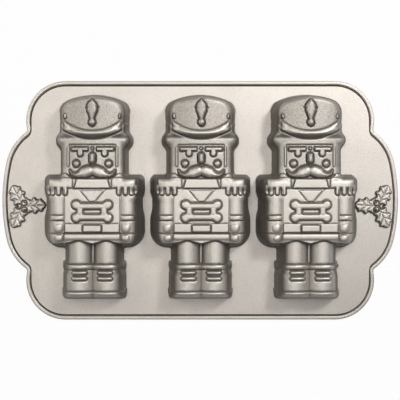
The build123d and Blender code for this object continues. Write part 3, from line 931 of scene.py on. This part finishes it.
def rim(bead_metal, ledge_painted_shade_metal):
    """The bead round the pan and the groove floor inside it, swept along the outline; the floor's dark metal
    is painted shade in the groove.
    """
    places = pan_edge(BEAD_WIDTH / 2)
    curve = bpy.data.curves.new("rim_path", "CURVE")
    curve.dimensions = "3D"
    spline = curve.splines.new("POLY")
    spline.points.add(len(places) - 1)
    for point, (x, y) in zip(spline.points, places):
        point.co = (x * MM, y * MM, BEAD_HEIGHT / 2 * MM, 1)
    spline.use_cyclic_u = True
    path = shown("rim_path", curve)
    modifier = path.modifiers.new("sweep", "NODES")
    modifier.node_group = sweep_tree()
    given = {name: size * MM for name, size in RIM_SIZES.items()}
    given.update({"Bead metal": bead_metal, "Ledge metal": ledge_painted_shade_metal})
    for item in modifier.node_group.interface.items_tree:
        if item.in_out == "INPUT" and item.name in given:
            modifier[item.identifier] = given[item.name]
    mesh = final_mesh(path, "rim_bead")
    mesh.shade_smooth()
    mesh.set_sharp_from_angle(angle=RIM_CREASE)
    piece = shown("rim_bead", mesh)
    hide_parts("rim")
    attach(piece, "root")


# Materials

class Sock:
    """A node's output, on which plain arithmetic adds Math nodes."""

    def __init__(self, tree, socket):
        self.tree = tree
        self.socket = socket

    def maths(self, kind, other, swap=False):
        values = (other, self) if swap else (self, other)
        return self.tree.node("ShaderNodeMath", {"operation": kind}, {0: values[0], 1: values[1]})

    def __add__(self, other):
        return self.maths("ADD", other)

    def __mul__(self, other):
        return self.maths("MULTIPLY", other)

    def __sub__(self, other):
        return self.maths("SUBTRACT", other)

    def __rsub__(self, other):
        return self.maths("SUBTRACT", other, swap=True)

    __radd__ = __add__
    __rmul__ = __mul__


class Tree:
    """A node tree whose nodes are added one call at a time."""

    def __init__(self, name):
        self.group = bpy.data.node_groups.new(name, "GeometryNodeTree")
        self.nodes = self.group.nodes
        self.links = self.group.links

    def node(self, kind, settings, inputs, output=0):
        """One node: its settings, then the values or links of its sockets."""
        made = self.nodes.new(kind)
        for key, value in settings.items():
            setattr(made, key, value)
        for key, value in inputs.items():
            if isinstance(value, Sock):
                self.links.new(value.socket, made.inputs[key])
            else:
                made.inputs[key].default_value = value
        return Sock(self, made.outputs[output])


class Shader(Tree):
    """A material's nodes."""

    def __init__(self, name):
        self.material = bpy.data.materials.new(name)
        self.material.use_nodes = True
        self.nodes = self.material.node_tree.nodes
        self.links = self.material.node_tree.links
        self.nodes.clear()
        self.output = self.nodes.new("ShaderNodeOutputMaterial")

    def mix(self, factor, first, second):
        return self.node("ShaderNodeMix", {"data_type": "RGBA"}, {0: factor, 6: first, 7: second}, output=2)

    def noise(self, scale, detail, **inputs):
        place = self.node("ShaderNodeTexCoord", {}, {}, output=3)
        values = {"Vector": place, "Scale": scale, "Detail": detail, **inputs}
        return self.node("ShaderNodeTexNoise", {}, values)

    def between(self, value, start, end):
        """0 at a start and 1 at an end, and even in between."""
        return self.node("ShaderNodeMapRange", {}, {0: value, 1: start, 2: end})

    def kept(self, name):
        """What the mesh keeps at each point under a name."""
        return self.node("ShaderNodeAttribute", {"attribute_name": name}, {}, output=2)

    def finish(self, surface):
        self.links.new(surface.socket, self.output.inputs["Surface"])
        return self.material


def linear(red, green, blue):
    """A colour given as it shows on screen, from 0 to 255, in the shader's own linear terms."""
    def one(c):
        c /= 255
        return c / 12.92 if c <= 0.04045 else ((c + 0.055) / 1.055) ** 2.4
    return (one(red), one(green), one(blue), 1.0)


CAST_PALE = linear(226, 219, 211)
CAST_MID = linear(208, 201, 192)
# The painted shade's tone, for hollows, walls and the rim's groove
PAINTED_SHADE_TONE = linear(68, 63, 58)
SPECK_TONE = linear(246, 240, 232)
PIT_TONE = linear(140, 132, 124)
GRIT_TONE = linear(112, 105, 98)
# The painted highlight's tone, for ridges
PAINTED_HIGHLIGHT_TONE = linear(244, 239, 232)

# The grain and the patches of the coat, with the noise between which specks, pits and dots appear
GRAIN_SCALE = 1500.0
GRAIN_DETAIL = 3.0
GRAIN_ROUGHNESS = 0.65
COARSE_SHARE = 0.32
COARSE_DETAIL = 2.0
PATCH_SCALE = 28.0
PATCH_DETAIL = 3.0
SPECKS = (0.56, 0.74)
PITS = (0.44, 0.30)
DOTS = (0.52, 0.4)

# How much of each tone shows, the painted shade and painted highlight among them, and how dull and bumpy the
# metal is
SPECK_SHARE = 0.45
PIT_SHARE = 0.14
GRIT_SHARE = 0.28
DOT_SHARE = 0.5
PAINTED_SHADE_SHARE = 0.75
PAINTED_HIGHLIGHT_SHARE = 0.28
METAL = 0.9
DULLNESS = 0.5
GRAIN_DULLNESS = 0.22
RIDGE_POLISH = 0.1
HOLLOW_DULLNESS = 0.15
GROOVE_DULLNESS = 0.6
BUMP_STRENGTH = 0.35
BUMP_HEIGHT = 0.00035
COARSE_BUMP = 0.6


def cast_metal(name, painted_light_and_grit):
    """Blasted cast aluminium under a thin pearl-grey coat: fine grain, soft patches, and where the mesh keeps
    them, painted shade in hollows and painted highlight on ridges.
    """
    s = Shader(name)
    grain = s.noise(GRAIN_SCALE, GRAIN_DETAIL, Roughness=GRAIN_ROUGHNESS)
    coarse = s.noise(GRAIN_SCALE * COARSE_SHARE, COARSE_DETAIL)
    colour = s.mix(s.noise(PATCH_SCALE, PATCH_DETAIL), CAST_MID, CAST_PALE)
    colour = s.mix(s.between(grain, *SPECKS) * SPECK_SHARE, colour, SPECK_TONE)
    colour = s.mix(s.between(coarse, *PITS) * PIT_SHARE, colour, PIT_TONE)
    rough = DULLNESS + (grain - 0.5) * GRAIN_DULLNESS
    if painted_light_and_grit:
        dots = s.between(grain, *DOTS)
        colour = s.mix(s.kept("grit") * (GRIT_SHARE + dots * DOT_SHARE), colour, GRIT_TONE)
        # Painted shade darkens hollows, the walls' feet and steep walls; painted highlight lightens ridges
        painted_shade = s.kept("painted_shade")
        painted_highlight = s.kept("painted_highlight")
        colour = s.mix(painted_shade * PAINTED_SHADE_SHARE, colour, PAINTED_SHADE_TONE)
        colour = s.mix(painted_highlight * PAINTED_HIGHLIGHT_SHARE, colour, PAINTED_HIGHLIGHT_TONE)
        rough = rough - painted_highlight * RIDGE_POLISH + painted_shade * HOLLOW_DULLNESS
    relief = {"Strength": BUMP_STRENGTH, "Distance": BUMP_HEIGHT, "Height": grain + coarse * COARSE_BUMP}
    bump = s.node("ShaderNodeBump", {}, relief)
    skin = {"Base Color": colour, "Metallic": METAL, "Roughness": rough, "Normal": bump}
    return s.finish(s.node("ShaderNodeBsdfPrincipled", {}, skin))


def plain(name, colour, rough):
    s = Shader(name)
    return s.finish(s.node("ShaderNodeBsdfPrincipled", {}, {"Base Color": colour, "Roughness": rough}))


# The studio, where places in the photograph are in its pixels

FRAME = 400
PIXEL = 0.9206 * MM
PHOTO_MIDDLE = (200.25, 200.35)
UNDER_CAMERA = (171.0, 193.0)
CAMERA_HEIGHT = 0.812
SENSOR_MM = 36.0
SIGHT = 20.0
FLOOR_HALF = 3
FLOOR_GREY = 0.85
FLOOR_GLOW = 0.96
WORLD_LIGHT = 0.10

# Each lamp's place and width in metres, its power in watts and its colour
LAMPS = {"overhead": ((-0.16, 0.14, 1.5), 0.9, 6.0, (1, 1, 1)),
         "key": ((0.64, 0.58, 1.06), 0.28, 8.2, (1, 1, 1)),
         "fill": ((-0.95, 0.45, 0.8), 0.4, 3.2, (1.0, 0.98, 0.9))}


def camera():
    """Looks straight down, set off towards one side as in the photograph."""
    data = bpy.data.cameras.new("camera")
    data.sensor_width = SENSOR_MM
    data.lens = data.sensor_width * CAMERA_HEIGHT / (FRAME * PIXEL)
    data.shift_x = (FRAME / 2 - UNDER_CAMERA[0]) / FRAME
    data.shift_y = (UNDER_CAMERA[1] - FRAME / 2) / FRAME
    data.clip_end = SIGHT
    holder = shown("camera", data)
    x = (UNDER_CAMERA[0] - PHOTO_MIDDLE[0]) * PIXEL
    y = (PHOTO_MIDDLE[1] - UNDER_CAMERA[1]) * PIXEL
    holder.location = (x, y, DECK_HIGH[2] + CAMERA_HEIGHT)
    bpy.context.scene.camera = holder


def lamp(name, place, size, power, colour):
    """A square soft lamp that faces the pan."""
    data = bpy.data.lights.new(name, "AREA")
    data.size = size
    data.energy = power
    data.color = colour
    holder = shown(name, data)
    holder.location = place
    holder.rotation_euler = (-Vector(place)).to_track_quat("-Z", "Y").to_euler()


def white_floor():
    """A pale floor that shows white but keeps the pan's shadow."""
    s = Shader("floor_white")
    rays = s.nodes.new("ShaderNodeLightPath")
    seen = Sock(s, rays.outputs["Is Camera Ray"])
    for name in ("Is Glossy Ray", "Is Transmission Ray"):
        seen = seen.maths("MAXIMUM", Sock(s, rays.outputs[name]))
    matt = s.node("ShaderNodeBsdfDiffuse", {}, {"Color": (FLOOR_GREY, FLOOR_GREY, FLOOR_GREY, 1)})
    glow = s.node("ShaderNodeEmission", {}, {"Color": (1, 1, 1, 1), "Strength": 1.0})
    s.finish(s.node("ShaderNodeMixShader", {}, {0: seen * FLOOR_GLOW, 1: matt, 2: glow}))
    data = bpy.data.meshes.new("floor")
    corners = [(x * FLOOR_HALF, y * FLOOR_HALF, 0) for x, y in ((-1, -1), (1, -1), (1, 1), (-1, 1))]
    data.from_pydata(corners, [], [(0, 1, 2, 3)])
    data.materials.append(s.material)
    floor = shown("floor", data)


def studio():
    camera()
    for name, values in LAMPS.items():
        lamp(name, *values)
    world = bpy.data.worlds.new("studio")
    world.use_nodes = True
    world.node_tree.nodes["Background"].inputs["Color"].default_value = (1, 1, 1, 1)
    world.node_tree.nodes["Background"].inputs["Strength"].default_value = WORLD_LIGHT
    bpy.context.scene.world = world
    bpy.context.scene.view_settings.view_transform = "Standard"
    white_floor()


studio()
skin_metal = cast_metal("cast_skin", True)
deck_metal = cast_metal("cast_deck", False)
soldiers(skin_metal)
hollies(skin_metal)
# The rim's groove floor takes a plain dark metal: painted shade in the groove
rim(deck_metal, plain("groove", PAINTED_SHADE_TONE, GROOVE_DULLNESS))
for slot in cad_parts["deck"].material_slots:
    slot.material = deck_metal
